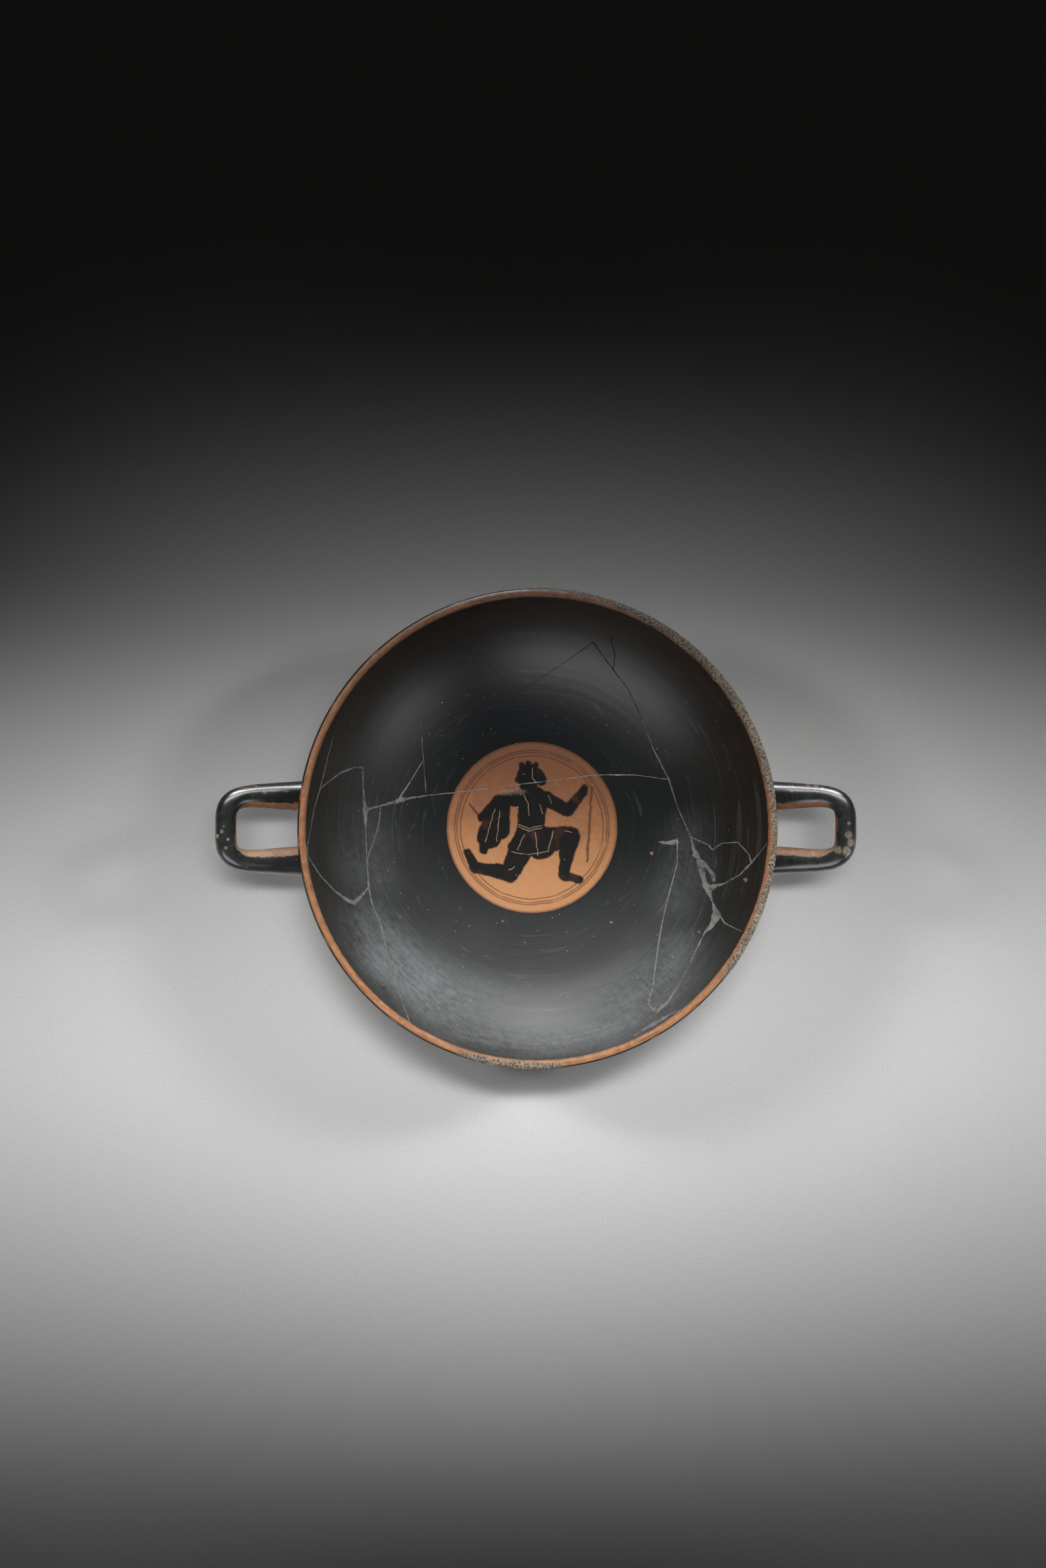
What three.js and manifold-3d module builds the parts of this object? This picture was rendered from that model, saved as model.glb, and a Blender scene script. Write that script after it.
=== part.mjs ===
// A Greek kylix: a broad shallow drinking cup on a short stem and a spreading foot, with two
// looped handles at the sides. It is one fired piece of clay, so it is one solid.
// Millimetres, +Z up. The origin is on the axis, at the surface that the foot stands on,
// and the handles point along +X and -X.

import * as THREE from 'three';
import { mergeVertices } from 'three/addons/utils/BufferGeometryUtils.js';
import Module from 'manifold-3d';

const wasm = await Module();
wasm.setup();

// ---- driving dimensions ----

const cup = {
  height: 80,
  rimRadius: 100,
  floorHeight: 30, // inside of the bowl, on the axis
  lipWall: 3.5,
  bellyWall: 4.3,
  floorWall: 5.2,
};

const foot = {
  radius: 43,
  edgeHeight: 6,
  edgeRound: 0.9,
  restInner: 37, // the ring that it stands on runs from here to the edge
  restRound: 1.4,
  hollowHeight: 17, // top of the hollow under the stem
  hollowRadius: 5.5, // of that top
  hollowRise: 3.4, // how high the wide part of the hollow is
  stemRadius: 13,
  stemHeight: 19.5,
};

// the ridge between the stem and the bowl, and the groove on each side of it
const collar = { radius: 15.8, height: 2.6, round: 0.8, groove: 0.8 };

const handle = {
  reach: 134.2, // from the axis to the outside of the loop
  halfWidth: 13.7, // from the loop's middle to the centre of each arm
  squareness: 3.8, // exponent of the loop's rounded square: 2 is an ellipse
  bendStart: 112, // the arms are straight up to here
  rootHeight: 53.5,
  tipHeight: 73.5,
  riseCurve: 1.3, // 1 rises in a straight line, more curls up towards the tip
  armRadii: [5.1, 4.7], // half the section across the loop, and half of it up and down
  tipRadii: [4.4, 4.2],
  rootFlare: 0.5, // how much wider the arm is where it meets the wall
  flareLength: 44, // the arm grows thicker from here inwards to the wall
};

// how many steps each curve is divided into
const facets = { turn: 72, bowl: 13, lip: 5, foot: 8, hollow: 6, arm: 4, bend: 18, section: 14 };

// ---- the turned body ----

// The inside of the bowl, from the axis to the lip: level at the floor and steep at the rim.
const lipRadius = cup.lipWall / 2;
const rimSlope = THREE.MathUtils.degToRad(66);
const floorSpan = 0.54; // share of the radius over which the level floor pulls on the curve
const rimPull = 30; // how far below the lip the steep rim pulls on it
const lipCentre = new THREE.Vector2(cup.rimRadius - lipRadius, cup.height - lipRadius);
const rimDirection = new THREE.Vector2(Math.cos(rimSlope), Math.sin(rimSlope));
const innerEnd = lipCentre.clone().add(
  new THREE.Vector2(-rimDirection.y, rimDirection.x).multiplyScalar(lipRadius));

const bowlInside = new THREE.CubicBezierCurve(
  new THREE.Vector2(0, cup.floorHeight),
  new THREE.Vector2(innerEnd.x * floorSpan, cup.floorHeight),
  innerEnd.clone().addScaledVector(rimDirection, -rimPull),
  innerEnd);

// Thickness of the wall at a share t of the way from the floor to the lip.
function wallAt(t) {
  const toBelly = THREE.MathUtils.smoothstep(t, 0, 0.5);
  const toLip = THREE.MathUtils.smoothstep(t, 0.6, 1);
  return cup.floorWall + (cup.bellyWall - cup.floorWall) * toBelly
    + (cup.lipWall - cup.bellyWall) * toLip;
}

// A point of the wall at t, from 0 on its inner face to 1 on its outer face.
function wallPoint(t, depth) {
  const tangent = bowlInside.getTangent(t);
  const outward = new THREE.Vector2(tangent.y, -tangent.x);
  return bowlInside.getPoint(t).addScaledVector(outward, wallAt(t) * depth);
}

function arc(centre, radius, from, to, steps) {
  return Array.from({ length: steps + 1 }, (_, i) => {
    const angle = THREE.MathUtils.degToRad(from + (to - from) * i / steps);
    return new THREE.Vector2(centre.x + radius * Math.cos(angle), centre.y + radius * Math.sin(angle));
  });
}

const collarTop = foot.stemHeight + collar.height;
const bowlStart = 0.17; // the share t at which the outer face of the bowl leaves the collar

// Distance from the axis to the wall at a height, at a depth from 0 inside to 1 outside.
function wallRadiusAt(height, depth) {
  let [low, high] = [bowlStart, 1];
  for (let i = 0; i < 30; i++) {
    const middle = (low + high) / 2;
    if (wallPoint(middle, depth).y < height) low = middle;
    else high = middle;
  }
  return wallPoint(low, depth).x;
}

// A face of the wall, from a share t of the way up to the lip.
function wallFace(from, depth) {
  return Array.from({ length: facets.bowl + 1 }, (_, i) =>
    wallPoint(from + (1 - from) * i / facets.bowl, depth));
}

// The whole section of the turned body, from the middle of its underside up the outer face,
// over the lip and down the inner face to the middle of the floor.
function bodyProfile() {
  const grooveRadius = foot.stemRadius + collar.groove;
  const shoulder = foot.edgeHeight + 2.2; // where the foot's upper face turns up into the stem

  const hollow = new THREE.CubicBezierCurve(
    new THREE.Vector2(foot.hollowRadius, foot.hollowHeight - 2),
    new THREE.Vector2(foot.stemRadius, foot.hollowRise),
    new THREE.Vector2(foot.restInner * 0.68, foot.hollowRise),
    new THREE.Vector2(foot.restInner - foot.restRound, foot.restRound)).getPoints(facets.hollow);

  const edge = [
    new THREE.Vector2(foot.restInner, 0),
    new THREE.Vector2(foot.radius - foot.edgeRound, 0),
    new THREE.Vector2(foot.radius, foot.edgeRound),
    new THREE.Vector2(foot.radius, foot.edgeHeight - foot.edgeRound),
  ];

  const spread = new THREE.CubicBezierCurve(
    new THREE.Vector2(foot.radius - foot.edgeRound, foot.edgeHeight),
    new THREE.Vector2(foot.radius / 2, shoulder),
    new THREE.Vector2(foot.stemRadius, shoulder),
    new THREE.Vector2(foot.stemRadius, foot.stemHeight - collar.groove)).getPoints(facets.foot);

  const ridge = [
    new THREE.Vector2(grooveRadius, foot.stemHeight),
    new THREE.Vector2(collar.radius - collar.round, foot.stemHeight),
    new THREE.Vector2(collar.radius, foot.stemHeight + collar.round),
    new THREE.Vector2(collar.radius, collarTop - collar.round),
    new THREE.Vector2(collar.radius - collar.round, collarTop),
    new THREE.Vector2(grooveRadius, collarTop),
  ];

  const slope = THREE.MathUtils.radToDeg(rimSlope);
  const lip = arc(lipCentre, lipRadius, slope - 90, slope + 90, facets.lip).slice(1, -1);

  const axis = [new THREE.Vector2(0, foot.hollowHeight)];
  const inside = wallFace(0, 0).reverse();
  inside.at(-1).x = 0;
  return [...axis, ...hollow, ...edge, ...spread, ...ridge, ...wallFace(bowlStart, 1), ...lip, ...inside];
}

// Turns a profile about +Z. It starts and ends on the axis and runs upwards on its outer side,
// so that the faces point out.
function turned(profile) {
  const geometry = new THREE.LatheGeometry(profile, facets.turn);
  geometry.rotateX(Math.PI / 2);
  return asSolid(geometry);
}

// ---- solids ----

function asSolid(geometry) {
  geometry.deleteAttribute('normal');
  geometry.deleteAttribute('uv');
  const merged = mergeVertices(geometry, 1e-4);
  const solid = new wasm.Manifold(new wasm.Mesh({
    numProp: 3,
    vertProperties: merged.attributes.position.array,
    triVerts: new Uint32Array(merged.index.array),
  }));
  if (solid.volume() < 0) throw new Error('a solid is inside out');
  return solid;
}

function asGeometry(solid) {
  const mesh = solid.getMesh();
  const geometry = new THREE.BufferGeometry();
  geometry.setAttribute('position', new THREE.BufferAttribute(mesh.vertProperties, 3));
  geometry.setIndex(new THREE.BufferAttribute(mesh.triVerts, 1));
  geometry.computeVertexNormals();
  return geometry;
}

// ---- the handles ----

// The loop's centre line seen from above, from one root out round the bend to the other.
// Each point has x and y, and arm, which is 0 on the bend and grows towards the root.
function loopOutline() {
  const bendReach = handle.reach - handle.tipRadii[0] - handle.bendStart;
  const flared = handle.armRadii.map((radius) => radius * (1 + handle.rootFlare));
  const lowest = wallRadiusAt(handle.rootHeight - flared[1], 0.5);
  const rootStart = Math.sqrt(lowest ** 2 - (handle.halfWidth + flared[0]) ** 2) - 1;
  const power = 2 / handle.squareness;
  const points = [];
  for (let i = 0; i < facets.arm; i++) {
    points.push({ x: rootStart + (handle.bendStart - rootStart) * i / facets.arm, y: -handle.halfWidth });
  }
  for (let i = 0; i <= facets.bend; i++) {
    const angle = Math.PI * (i / facets.bend - 0.5);
    points.push({
      x: handle.bendStart + bendReach * Math.abs(Math.cos(angle)) ** power,
      y: handle.halfWidth * Math.sign(Math.sin(angle)) * Math.abs(Math.sin(angle)) ** power,
    });
  }
  for (let i = facets.arm - 1; i >= 0; i--) points.push({ x: points[i].x, y: handle.halfWidth });
  return points;
}

const rootRadius = wallRadiusAt(handle.rootHeight, 1);

// Height of the centre line, and how steeply it climbs, at a distance x from the cup's axis.
function loopRise(x) {
  const length = handle.reach - handle.tipRadii[0] - rootRadius;
  const along = Math.max(x - rootRadius, 0) / length;
  const rise = handle.tipHeight - handle.rootHeight;
  return {
    height: handle.rootHeight + rise * along ** handle.riseCurve,
    slope: Math.atan(rise / length * handle.riseCurve * along ** (handle.riseCurve - 1)),
  };
}

// One looped handle on the +X side: an oval section carried along the centre line.
function loopHandle() {
  const outline = loopOutline();
  const sides = facets.section;
  const positions = [];
  outline.forEach((point, i) => {
    const before = outline[Math.max(i - 1, 0)];
    const after = outline[Math.min(i + 1, outline.length - 1)];
    const { height, slope } = loopRise(point.x);
    const centre = new THREE.Vector3(point.x, point.y, height);
    const up = new THREE.Vector3(-Math.sin(slope), 0, Math.cos(slope));
    const along = new THREE.Vector3(
      (after.x - before.x), after.y - before.y, (after.x - before.x) * Math.tan(slope)).normalize();
    const across = new THREE.Vector3().crossVectors(up, along).normalize();

    const towardsTip = THREE.MathUtils.smoothstep(point.x, 106, handle.reach - 8);
    const flare = 1 + handle.rootFlare
      * THREE.MathUtils.clamp(1 - (point.x - rootRadius) / handle.flareLength, 0, 1) ** 2;
    const [wide, tall] = handle.armRadii.map(
      (radius, k) => (radius + (handle.tipRadii[k] - radius) * towardsTip) * flare);
    for (let k = 0; k < sides; k++) {
      const angle = 2 * Math.PI * k / sides;
      positions.push(...centre.clone()
        .addScaledVector(across, wide * Math.cos(angle))
        .addScaledVector(up, tall * Math.sin(angle)).toArray());
    }
  });

  const index = [];
  const last = outline.length - 1;
  for (let i = 0; i < last; i++) {
    for (let k = 0; k < sides; k++) {
      const next = (k + 1) % sides;
      const [a, b, c, d] = [i * sides + k, i * sides + next, (i + 1) * sides + next, (i + 1) * sides + k];
      index.push(a, b, c, a, c, d);
    }
  }
  for (let k = 1; k < sides - 1; k++) {
    index.push(0, k + 1, k, last * sides, last * sides + k, last * sides + k + 1);
  }

  const geometry = new THREE.BufferGeometry();
  geometry.setAttribute('position', new THREE.Float32BufferAttribute(positions, 3));
  geometry.setIndex(index);
  return geometry;
}

// ---- the whole cup ----

function kylixSolid() {
  const body = turned(bodyProfile());

  // The arms stop in the middle of the wall, so nothing of them shows inside the bowl.
  const middle = wallFace(0, 0.5);
  middle[0].x = 0;
  const above = cup.height + 20;
  const hollow = turned([...middle, new THREE.Vector2(middle.at(-1).x, above),
    new THREE.Vector2(0, above)]);

  const right = asSolid(loopHandle());
  const left = right.rotate([0, 0, 180]);
  return body.add(right.subtract(hollow)).add(left.subtract(hollow));
}

const blackGloss = new THREE.MeshStandardMaterial({ color: 0x191a19, roughness: 0.35, metalness: 0 });

const kylix = new THREE.Mesh(asGeometry(kylixSolid()), blackGloss);
kylix.name = 'kylix';

const part = new THREE.Group();
part.add(kylix);
export default part;
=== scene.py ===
import math
from functools import partialmethod, reduce
import bmesh
import bpy
import numpy as np
from mathutils import Matrix, Vector


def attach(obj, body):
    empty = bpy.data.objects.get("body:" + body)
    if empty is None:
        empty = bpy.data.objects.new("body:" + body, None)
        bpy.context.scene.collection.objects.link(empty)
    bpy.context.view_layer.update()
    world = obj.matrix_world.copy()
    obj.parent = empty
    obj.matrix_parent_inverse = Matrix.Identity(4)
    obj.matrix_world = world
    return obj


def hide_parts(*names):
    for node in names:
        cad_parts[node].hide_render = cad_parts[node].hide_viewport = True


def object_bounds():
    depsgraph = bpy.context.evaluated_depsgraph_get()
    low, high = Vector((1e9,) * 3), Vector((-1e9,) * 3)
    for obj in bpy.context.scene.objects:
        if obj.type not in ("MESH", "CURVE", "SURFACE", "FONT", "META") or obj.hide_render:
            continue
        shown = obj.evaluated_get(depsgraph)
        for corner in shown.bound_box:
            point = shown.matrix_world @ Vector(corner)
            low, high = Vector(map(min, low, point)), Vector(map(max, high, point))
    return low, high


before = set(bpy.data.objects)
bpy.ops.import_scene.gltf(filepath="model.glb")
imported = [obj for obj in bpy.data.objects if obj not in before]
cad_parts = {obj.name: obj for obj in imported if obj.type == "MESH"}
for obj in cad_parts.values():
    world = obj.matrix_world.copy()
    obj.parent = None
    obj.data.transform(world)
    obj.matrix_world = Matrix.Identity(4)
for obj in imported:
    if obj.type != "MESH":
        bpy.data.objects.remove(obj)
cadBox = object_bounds()
mm = 0.001  # shapes are worked out in millimetres, and meshes are stored in metres
print("frame loaded")


# node trees, for shapes and for finishes alike

class Wire:
    # an output socket that sums can be written with
    def __init__(self, sheet, socket):
        self.sheet = sheet
        self.socket = socket

    def also(self, name):
        return Wire(self.sheet, self.socket.node.outputs[name])

    def sum(self, operation, *others):
        return self.sheet.put("ShaderNodeMath", {"operation": operation}, self, *others)

    __add__ = __radd__ = partialmethod(sum, "ADD")
    __sub__ = partialmethod(sum, "SUBTRACT")
    __mul__ = __rmul__ = partialmethod(sum, "MULTIPLY")
    __truediv__ = partialmethod(sum, "DIVIDE")
    __pow__ = partialmethod(sum, "POWER")

    def __rsub__(self, other):
        return self.sheet.put("ShaderNodeMath", {"operation": "SUBTRACT"}, other, self)


class NodeSheet:
    # a node tree that nodes are put on
    def __init__(self, tree):
        self.tree = tree
        tree.nodes.clear()

    def put(self, kind, settings=None, *values, **named):
        node = self.tree.nodes.new(kind)
        for key, value in (settings or {}).items():
            setattr(node, key, value)
        sockets = [socket for socket in node.inputs if socket.enabled]
        for socket, value in zip(sockets, values):
            self.feed(socket, value)
        for name, value in named.items():
            plain = name.replace("_", " ").lower()
            self.feed(next(s for s in sockets if s.name.lower() == plain), value)
        shown = [socket for socket in node.outputs if socket.enabled]
        return Wire(self, shown[0]) if shown else node

    def feed(self, socket, value):
        if isinstance(value, Wire):
            self.tree.links.new(value.socket, socket)
        elif value is not None:
            socket.default_value = value

    def feedAll(self, node, values):
        for name, value in values.items():
            self.feed(node.inputs[name], value)

    def gathered(self, operation, wires):
        return reduce(lambda first, second: first.sum(operation, second), wires)

    smallest = partialmethod(gathered, "MINIMUM")
    largest = partialmethod(gathered, "MAXIMUM")

    def step(self, value, low, high):
        # 0 below low and 1 above high, or the other way round where low is the larger
        return self.put("ShaderNodeMapRange", {"interpolation_type": "SMOOTHSTEP"}, value, low, high, 0, 1)

    def vectorSum(self, operation, *values):
        return self.put("ShaderNodeVectorMath", {"operation": operation}, *values)

    def shapeOf(self, entry):
        return self.put("GeometryNodeObjectInfo", None, entry).also("Geometry")

    def joined(self, x, y, z):
        return self.put("ShaderNodeCombineXYZ", None, x, y, z)

    def split(self, place):
        return self.put("ShaderNodeSeparateXYZ", None, place)

    def objectPlace(self):
        return self.put("ShaderNodeTexCoord").also("Object")

    def shaken(self, noise, size):
        # the colours of a noise as a shift of up to half this size each way
        return self.vectorSum("SCALE", self.vectorSum("SUBTRACT", noise, (0.5, 0.5, 0.5)), size)

    def mixed(self, share, first, second):
        first, second = [(*c, 1) if isinstance(c, tuple) else c for c in (first, second)]
        return self.put("ShaderNodeMix", {"data_type": "RGBA"}, share, first, second)

    def noise(self, place, scale, detail=2, roughness=0.5):
        return self.put("ShaderNodeTexNoise", None, place, Scale=scale, Detail=detail, Roughness=roughness)

    def bump(self, strength, distance, height):
        return self.put("ShaderNodeBump", None, Strength=strength, Distance=distance, Height=height)


def newShapeTree(name, inputs):
    tree = bpy.data.node_groups.new(name, "GeometryNodeTree")
    tree.interface.new_socket("Geometry", in_out="OUTPUT", socket_type="NodeSocketGeometry")
    for label, kind in {"Geometry": "Geometry", **inputs, "Finish": "Material"}.items():
        tree.interface.new_socket(label, in_out="INPUT", socket_type="NodeSocket" + kind)
    sheet = NodeSheet(tree)
    return sheet, sheet.put("NodeGroupInput").also


def endTree(sheet, entry, shape):
    real = sheet.put("GeometryNodeRealizeInstances", None, shape)
    painted = sheet.put("GeometryNodeSetMaterial", None, real, Material=entry("Finish"))
    sheet.put("NodeGroupOutput", None, painted)
    return sheet.tree


def newObject(name, data):
    thing = bpy.data.objects.new(name, data)
    bpy.context.scene.collection.objects.link(thing)
    return thing


def shapedBy(source, tree, values, name):
    # runs a tree on an object and keeps the result as a plain mesh
    modifier = source.modifiers.new(tree.name, "NODES")
    modifier.node_group = tree
    for item in tree.interface.items_tree:
        if item.in_out == "INPUT" and item.name in values:
            modifier[item.identifier] = values[item.name]
    return plainCopy(source, name)


def plainCopy(source, name):
    bpy.context.view_layer.update()
    graph = bpy.context.evaluated_depsgraph_get()
    mesh = bpy.data.meshes.new_from_object(source.evaluated_get(graph))
    bpy.data.objects.remove(source)
    mesh.name = name
    return newObject(name, mesh)


def polylines(name, lines):
    # open lines of straight steps, as x, y, z in millimetres and the radius
    curve = bpy.data.curves.new(name, "CURVE")
    curve.dimensions = "3D"
    for line in lines:
        spline = curve.splines.new("POLY")
        spline.points.add(len(line) - 1)
        for point, (x, y, z, radius) in zip(spline.points, line):
            point.co = (x * mm, y * mm, z * mm, 1)
            point.radius = radius
    return newObject(name, curve)


def readVectors(items, name):
    flat = np.empty(len(items) * 3)
    items.foreach_get(name, flat)
    return flat.reshape(-1, 3)


def smoothStep(value, low, high):
    share = np.clip((value - low) / (high - low), 0, 1)
    return share * share * (3 - 2 * share)


def lengthAlong(points):
    # how far along a line each of its points is
    return np.concatenate([[0], np.cumsum(np.linalg.norm(np.diff(points, axis=0), axis=1))])


# the turned cup

cup = {
    "height": cadBox[1].z / mm,
    "rim": cadBox[1].y / mm,
    "floor": 30,
    "lipWall": 3.5,
    "bellyWall": 4.3,
    "floorWall": 5.2,
    "rimSlope": 66,
    "floorSpan": 0.54,  # how far out the floor draws the wall's curve, as a share of the rim
    "rimPull": 30,  # and how far the rim's slope draws it down
    "bowlStart": 0.17,  # where the outer wall leaves the collar
    "footRadius": 43,
    "footEdge": 6,
    "footRound": 0.9,
    "shoulder": 2.2,  # the rise of the foot's upper face
    "restInner": 37,
    "restRound": 1.4,
    "hollowHeight": 17,
    "hollowRadius": 5.5,
    "hollowRise": 3.4,
    "stemRadius": 13,
    "stemHeight": 19.5,
    "collarRadius": 15.8,
    "collarHeight": 2.6,
    "collarRound": 0.8,
    "groove": 0.8,
    "turnSteps": 288,
    "coreSteps": 96,
    "weldGap": 0.001,
}


def bezier(points, steps=200):
    t = np.linspace(0, 1, steps)[:, None]
    a, b, c, d = np.array(points, float)
    return a * (1 - t) ** 3 + 3 * b * t * (1 - t) ** 2 + 3 * c * t * t * (1 - t) + d * t ** 3


def arc(centre, radius, start, end, steps):
    angle = np.radians(np.linspace(start, end, steps))
    return np.stack([centre[0] + radius * np.cos(angle), centre[1] + radius * np.sin(angle)], 1)


def spaced(points, gap):
    # the same line in equal steps of about this gap
    along = lengthAlong(points)
    marks = np.linspace(0, along[-1], max(2, round(along[-1] / gap) + 1))
    return np.stack([np.interp(marks, along, points[:, k]) for k in (0, 1)], 1)


lipRadius = cup["lipWall"] / 2
lipCentre = np.array([cup["rim"] - lipRadius, cup["height"] - lipRadius])
rimTurn = math.radians(cup["rimSlope"])
rimWay = np.array([math.cos(rimTurn), math.sin(rimTurn)])
innerEnd = lipCentre + lipRadius * np.array([-rimWay[1], rimWay[0]])
bowlInside = bezier([(0, cup["floor"]), (innerEnd[0] * cup["floorSpan"], cup["floor"]),
                     innerEnd - cup["rimPull"] * rimWay, innerEnd], steps=400)


def wallFace(start, depth):
    # the bowl's wall from a share of the way up to the lip, at a depth of 0 inside to 1 outside
    share = np.linspace(0, 1, len(bowlInside))
    thick = (cup["floorWall"] + (cup["bellyWall"] - cup["floorWall"]) * smoothStep(share, 0, 0.5)
             + (cup["lipWall"] - cup["bellyWall"]) * smoothStep(share, 0.6, 1))
    way = np.gradient(bowlInside, axis=0)
    way /= np.hypot(*way.T)[:, None]
    out = np.stack([way[:, 1], -way[:, 0]], 1)
    face = bowlInside + out * (thick * depth)[:, None]
    face[0, 0] = 0
    return face[share >= start]


def cupSection():
    # from under the foot on the axis, up the outer face, over the lip and down to the floor
    top, hollow, rise = cup["hollowHeight"], cup["hollowRadius"], cup["hollowRise"]
    rest, restSoft = cup["restInner"], cup["restRound"]
    foot, edge, soft = cup["footRadius"], cup["footEdge"], cup["footRound"]
    stem, stemTop, shoulder = cup["stemRadius"], cup["stemHeight"], edge + cup["shoulder"]
    groove, collarTop = stem + cup["groove"], stemTop + cup["collarHeight"]
    collar, bead, slope = cup["collarRadius"], cup["collarRound"], cup["rimSlope"]
    runs = [  # each with the length of its steps
        (bezier([(0, top), (3, top), (hollow - 1, top - 1), (hollow, top - 2)]), 1.2),
        (bezier([(hollow, top - 2), (stem, rise), (rest * 0.68, rise), (rest - restSoft, restSoft)]), 1.6),
        (arc((rest, restSoft), restSoft, 180, 270, 6), 0.6),
        (arc((foot - soft, soft), soft, 270, 360, 7), 0.35),
        (arc((foot - soft, edge - soft), soft, 0, 90, 7), 0.35),
        (bezier([(foot - soft, edge), (foot / 2, shoulder), (stem, shoulder),
                 (stem, stemTop - cup["groove"])]), 1.2),
        (np.array([(groove - 0.5, stemTop), (groove, stemTop)]), 0.5),
        (arc((collar - bead, stemTop + bead), bead, 270, 360, 6), 0.35),
        (arc((collar - bead, collarTop - bead), bead, 0, 90, 6), 0.35),
        (np.array([(groove, collarTop), (groove + 0.4, collarTop + 0.3)]), 0.5),
        (wallFace(cup["bowlStart"], 1), 1.35),
        (arc(lipCentre, lipRadius, slope - 90, slope + 90, 40), 0.5),
        (wallFace(0, 0)[::-1], 1.25),
    ]
    points = np.concatenate([spaced(run, gap) for run, gap in runs])
    apart = np.hypot(*np.diff(points, axis=0).T) > 0.05
    return points[np.concatenate([[True], apart])]


def turnedTree():
    # carries a section round the axis: each row of a grid takes its place from a point of the line
    sheet, entry = newShapeTree("turnedOnWheel", {"Turn Steps": "Int", "Weld Gap": "Float"})
    rows = sheet.put("GeometryNodeAttributeDomainSize", {"component": "CURVE"}, entry("Geometry"))
    grid = sheet.put("GeometryNodeMeshGrid", None, 1, 1, rows, entry("Turn Steps") + 1)
    flat = sheet.split(sheet.put("GeometryNodeInputPosition"))
    row = ((flat + 0.5) * (rows - 1)).sum("ROUND")
    angle = (flat.also("Y") + 0.5) * (2 * math.pi)
    section = sheet.put("GeometryNodeSampleIndex", {"data_type": "FLOAT_VECTOR"}, entry("Geometry"),
                        sheet.put("GeometryNodeInputPosition"), row)
    reach = sheet.split(section)
    carried = sheet.joined(reach * angle.sum("COSINE"), reach * angle.sum("SINE"), reach.also("Z"))
    shaped = sheet.put("GeometryNodeSetPosition", None, grid, Position=carried)
    welded = sheet.put("GeometryNodeMergeByDistance", None, shaped, Distance=entry("Weld Gap"))
    return endTree(sheet, entry, welded)


def turned(name, section, steps, tree, material):
    line = polylines(name + "Section", [[(r, 0, z, 1) for r, z in section]])
    piece = shapedBy(line, tree, {
        "Turn Steps": steps, "Weld Gap": cup["weldGap"] * mm, "Finish": material}, name)
    turnOut(piece)
    return piece


def turnOut(piece):
    # normals outwards, with doubles already merged
    work = bmesh.new()
    work.from_mesh(piece.data)
    bmesh.ops.recalc_face_normals(work, faces=work.faces)
    work.to_mesh(piece.data)
    work.free()


# the handles

handle = {
    "reach": cadBox[1].x / mm,
    "halfWidth": 13.7,
    "squareness": 3.8,  # of the bend: 2 is round
    "bendStart": 112,
    "rootHeight": 53.5,
    "tipHeight": 73.5,
    "riseCurve": 1.3,
    "armAcross": 5.1,
    "armUpright": 4.7,
    "tipShare": 0.87,  # thickness of the tip, as a share of the arm
    "thinFrom": 106,  # the arms thin from here
    "thinEnd": 8,  # before the tip
    "rootFlare": 0.5,
    "flareLength": 44,
    "filletHeight": 1.5,
    "filletWidth": 5,
    "sideFrom": 60,  # the sides are told apart beyond this distance from the axis
    "sectionSteps": 28,
    "armSteps": 26,
    "bendSteps": 46,
    "pathSteps": 96,
}


def wallRadius(height, depth):
    face = wallFace(0.05, depth)
    return np.interp(height, face[:, 1], face[:, 0])


def loopPath(side):
    # one loop from root to root: rows of x, y, z and the thickness there
    tip = handle["tipShare"] * handle["armAcross"]
    half, bendStart, rootHeight = handle["halfWidth"], handle["bendStart"], handle["rootHeight"]
    flared = 1 + handle["rootFlare"]
    lowest = wallRadius(rootHeight - handle["armUpright"] * flared, 0.5)
    start = math.sqrt(lowest ** 2 - (half + handle["armAcross"] * flared) ** 2) - 1
    armX = np.linspace(start, bendStart, handle["armSteps"], endpoint=False)
    armY = np.full(len(armX), half)
    angle = np.linspace(-math.pi / 2, math.pi / 2, handle["bendSteps"])
    power = 2 / handle["squareness"]
    bendX = bendStart + (handle["reach"] - tip - bendStart) * np.abs(np.cos(angle)) ** power
    bendY = half * np.sign(np.sin(angle)) * np.abs(np.sin(angle)) ** power
    x = np.concatenate([armX, bendX, armX[::-1]])
    y = np.concatenate([-armY, bendY, armY])
    root = wallRadius(rootHeight, 1)
    along = np.clip((x - root) / (handle["reach"] - tip - root), 0, 1)
    z = rootHeight + (handle["tipHeight"] - rootHeight) * along ** handle["riseCurve"]
    towardsTip = smoothStep(x, handle["thinFrom"], handle["reach"] - handle["thinEnd"])
    flare = 1 + handle["rootFlare"] * np.clip(1 - (x - root) / handle["flareLength"], 0, 1) ** 2
    thick = (1 + (handle["tipShare"] - 1) * towardsTip) * flare
    line = np.stack([x, y, z, thick], 1)
    length = lengthAlong(line[:, :3])
    marks = np.linspace(0, 1, handle["pathSteps"])
    line = np.stack([np.interp(marks, length / length[-1], column) for column in line.T], 1)
    line[:, :2] *= side
    return line


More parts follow.
